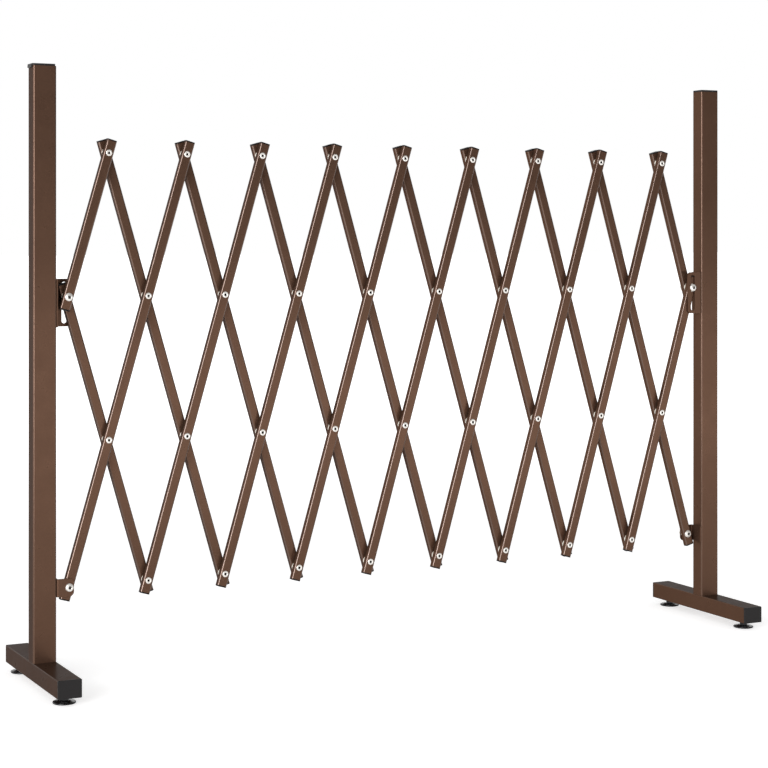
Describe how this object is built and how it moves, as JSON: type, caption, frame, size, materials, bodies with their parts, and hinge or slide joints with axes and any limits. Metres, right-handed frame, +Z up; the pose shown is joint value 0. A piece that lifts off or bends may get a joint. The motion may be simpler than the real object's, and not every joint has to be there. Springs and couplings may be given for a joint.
{
  "type": "expandable garden fence",
  "caption": "Free-standing expandable fence: a riveted scissor lattice of flat brown tubes between two posts on cross feet with levelling pads; it folds and opens sideways.",
  "frame": {"origin": "midway between the two posts, on the floor under the fence", "axes": "+X along the fence to the post whose upper bracket faces the front, +Y from the front to the back, +Z up"},
  "size_m": [1.3862, 0.3052, 1.035],
  "materials": {
    "brown_coat": "satin powder coat",
    "black_plastic": "matte",
    "black_gloss_plastic": "gloss",
    "nickel": "bright nickel plate",
    "zinc": "zinc plated"
  },
  "bodies": {
    "left_frame": {"left_post": "brown_coat", "left_post_base_plate": "zinc", "left_foot_bar": "brown_coat", "left_base_bolts": "zinc", "left_top_cap": "black_plastic", "left_foot_end_caps": "black_plastic", "left_leveller_inserts": "zinc", "left_slot_bracket": "brown_coat", "left_pivot_bracket": "brown_coat", "left_bracket_screws": "brown_coat", "left_lower_bolt": "nickel"},
    "front_0": {"front_bar_0": "brown_coat", "rivets_0": "nickel"},
    "back_0": {"back_bar_0": "brown_coat", "left_upper_bolt": "nickel"},
    "front_1": {"front_bar_1": "brown_coat", "rivets_1": "nickel"},
    "back_1": {"back_bar_1": "brown_coat"},
    "front_2": {"front_bar_2": "brown_coat", "rivets_2": "nickel"},
    "back_2": {"back_bar_2": "brown_coat"},
    "front_3": {"front_bar_3": "brown_coat", "rivets_3": "nickel"},
    "back_3": {"back_bar_3": "brown_coat"},
    "front_4": {"front_bar_4": "brown_coat", "rivets_4": "nickel"},
    "back_4": {"back_bar_4": "brown_coat"},
    "front_5": {"front_bar_5": "brown_coat", "rivets_5": "nickel"},
    "back_5": {"back_bar_5": "brown_coat"},
    "front_6": {"front_bar_6": "brown_coat", "rivets_6": "nickel"},
    "back_6": {"back_bar_6": "brown_coat"},
    "front_7": {"front_bar_7": "brown_coat", "rivets_7": "nickel"},
    "back_7": {"back_bar_7": "brown_coat"},
    "front_8": {"front_bar_8": "brown_coat", "rivets_8": "nickel"},
    "back_8": {"back_bar_8": "brown_coat"},
    "front_9": {"front_bar_9": "brown_coat", "rivets_9": "nickel", "right_upper_bolt": "nickel"},
    "back_9": {"back_bar_9": "brown_coat"},
    "right_frame": {"right_post": "brown_coat", "right_post_base_plate": "zinc", "right_foot_bar": "brown_coat", "right_base_bolts": "zinc", "right_top_cap": "black_plastic", "right_foot_end_caps": "black_plastic", "right_leveller_inserts": "zinc", "right_slot_bracket": "brown_coat", "right_pivot_bracket": "brown_coat", "right_bracket_screws": "brown_coat", "right_lower_bolt": "nickel"},
    "left_front_leveller": {"left_front_leveller": "black_gloss_plastic"},
    "left_back_leveller": {"left_back_leveller": "black_gloss_plastic"},
    "right_front_leveller": {"right_front_leveller": "black_gloss_plastic"},
    "right_back_leveller": {"right_back_leveller": "black_gloss_plastic"}
  },
  "joints": [
    {"name": "fold", "type": "hinge", "parent": "left_frame", "child": "front_1", "pos_m": [-0.6296, 0, 0.1645], "axis": [0, 1, 0], "range_deg": [-14.1, 12]},
    {"name": "back_2_pivot", "type": "hinge", "parent": "front_1", "child": "back_2", "pos_m": [-0.41973, 0, 0.88923], "axis": [0, 1, 0], "range_deg": [-24.05, 28.25]},
    {"name": "back_1_pivot", "type": "hinge", "parent": "front_1", "child": "back_1", "pos_m": [-0.48969, 0, 0.64765], "axis": [0, 1, 0], "range_deg": [-24.05, 28.25]},
    {"name": "back_0_pivot", "type": "hinge", "parent": "front_1", "child": "back_0", "pos_m": [-0.55964, 0, 0.40608], "axis": [0, 1, 0], "range_deg": [-24.05, 28.25]},
    {"name": "front_4_pivot", "type": "hinge", "parent": "back_2", "child": "front_4", "pos_m": [-0.20987, 0, 0.1645], "axis": [0, 1, 0], "range_deg": [-28.25, 24.05]},
    {"name": "front_3_pivot", "type": "hinge", "parent": "back_2", "child": "front_3", "pos_m": [-0.27982, 0, 0.40608], "axis": [0, 1, 0], "range_deg": [-28.25, 24.05]},
    {"name": "front_2_pivot", "type": "hinge", "parent": "back_2", "child": "front_2", "pos_m": [-0.34978, 0, 0.64765], "axis": [0, 1, 0], "range_deg": [-28.25, 24.05]},
    {"name": "front_0_pivot", "type": "hinge", "parent": "back_1", "child": "front_0", "pos_m": [-0.55964, 0, 0.88923], "axis": [0, 1, 0], "range_deg": [-28.25, 24.05]},
    {"name": "back_5_pivot", "type": "hinge", "parent": "front_4", "child": "back_5", "pos_m": [0, 0, 0.88923], "axis": [0, 1, 0], "range_deg": [-24.05, 28.25]},
    {"name": "back_4_pivot", "type": "hinge", "parent": "front_4", "child": "back_4", "pos_m": [-0.06996, 0, 0.64765], "axis": [0, 1, 0], "range_deg": [-24.05, 28.25]},
    {"name": "back_3_pivot", "type": "hinge", "parent": "front_4", "child": "back_3", "pos_m": [-0.13991, 0, 0.40608], "axis": [0, 1, 0], "range_deg": [-24.05, 28.25]},
    {"name": "front_7_pivot", "type": "hinge", "parent": "back_5", "child": "front_7", "pos_m": [0.20987, 0, 0.1645], "axis": [0, 1, 0], "range_deg": [-28.25, 24.05]},
    {"name": "front_6_pivot", "type": "hinge", "parent": "back_5", "child": "front_6", "pos_m": [0.13991, 0, 0.40608], "axis": [0, 1, 0], "range_deg": [-28.25, 24.05]},
    {"name": "front_5_pivot", "type": "hinge", "parent": "back_5", "child": "front_5", "pos_m": [0.06996, 0, 0.64765], "axis": [0, 1, 0], "range_deg": [-28.25, 24.05]},
    {"name": "back_8_pivot", "type": "hinge", "parent": "front_7", "child": "back_8", "pos_m": [0.41973, 0, 0.88923], "axis": [0, 1, 0], "range_deg": [-24.05, 28.25]},
    {"name": "back_7_pivot", "type": "hinge", "parent": "front_7", "child": "back_7", "pos_m": [0.34978, 0, 0.64765], "axis": [0, 1, 0], "range_deg": [-24.05, 28.25]},
    {"name": "back_6_pivot", "type": "hinge", "parent": "front_7", "child": "back_6", "pos_m": [0.27982, 0, 0.40608], "axis": [0, 1, 0], "range_deg": [-24.05, 28.25]},
    {"name": "front_9_pivot", "type": "hinge", "parent": "back_8", "child": "front_9", "pos_m": [0.55964, 0, 0.40608], "axis": [0, 1, 0], "range_deg": [-28.25, 24.05]},
    {"name": "front_8_pivot", "type": "hinge", "parent": "back_8", "child": "front_8", "pos_m": [0.48969, 0, 0.64765], "axis": [0, 1, 0], "range_deg": [-28.25, 24.05]},
    {"name": "back_9_pivot", "type": "hinge", "parent": "front_8", "child": "back_9", "pos_m": [0.55964, 0, 0.88923], "axis": [0, 1, 0], "range_deg": [-24.05, 28.25]},
    {"name": "right_frame_pivot", "type": "hinge", "parent": "back_8", "child": "right_frame", "pos_m": [0.6296, 0, 0.1645], "axis": [0, 1, 0], "range_deg": [-14.15, 12.05]},
    {"name": "left_front_leveller_screw", "type": "slide", "parent": "left_frame", "child": "left_front_leveller", "axis": [0, 0, 1], "range_m": [-0.01, 0.003]},
    {"name": "left_back_leveller_screw", "type": "slide", "parent": "left_frame", "child": "left_back_leveller", "axis": [0, 0, 1], "range_m": [-0.01, 0.003]},
    {"name": "right_front_leveller_screw", "type": "slide", "parent": "right_frame", "child": "right_front_leveller", "axis": [0, 0, 1], "range_m": [-0.01, 0.003]},
    {"name": "right_back_leveller_screw", "type": "slide", "parent": "right_frame", "child": "right_back_leveller", "axis": [0, 0, 1], "range_m": [-0.01, 0.003]}
  ],
  "couplings": [
    {"joint": "back_2_pivot", "follows": "fold", "ratio": -2},
    {"joint": "back_1_pivot", "follows": "fold", "ratio": -2},
    {"joint": "back_0_pivot", "follows": "fold", "ratio": -2},
    {"joint": "front_4_pivot", "follows": "fold", "ratio": 2},
    {"joint": "front_3_pivot", "follows": "fold", "ratio": 2},
    {"joint": "front_2_pivot", "follows": "fold", "ratio": 2},
    {"joint": "front_0_pivot", "follows": "fold", "ratio": 2},
    {"joint": "back_5_pivot", "follows": "fold", "ratio": -2},
    {"joint": "back_4_pivot", "follows": "fold", "ratio": -2},
    {"joint": "back_3_pivot", "follows": "fold", "ratio": -2},
    {"joint": "front_7_pivot", "follows": "fold", "ratio": 2},
    {"joint": "front_6_pivot", "follows": "fold", "ratio": 2},
    {"joint": "front_5_pivot", "follows": "fold", "ratio": 2},
    {"joint": "back_8_pivot", "follows": "fold", "ratio": -2},
    {"joint": "back_7_pivot", "follows": "fold", "ratio": -2},
    {"joint": "back_6_pivot", "follows": "fold", "ratio": -2},
    {"joint": "front_9_pivot", "follows": "fold", "ratio": 2},
    {"joint": "front_8_pivot", "follows": "fold", "ratio": 2},
    {"joint": "back_9_pivot", "follows": "fold", "ratio": -2},
    {"joint": "right_frame_pivot", "follows": "fold", "ratio": 1}
  ]
}
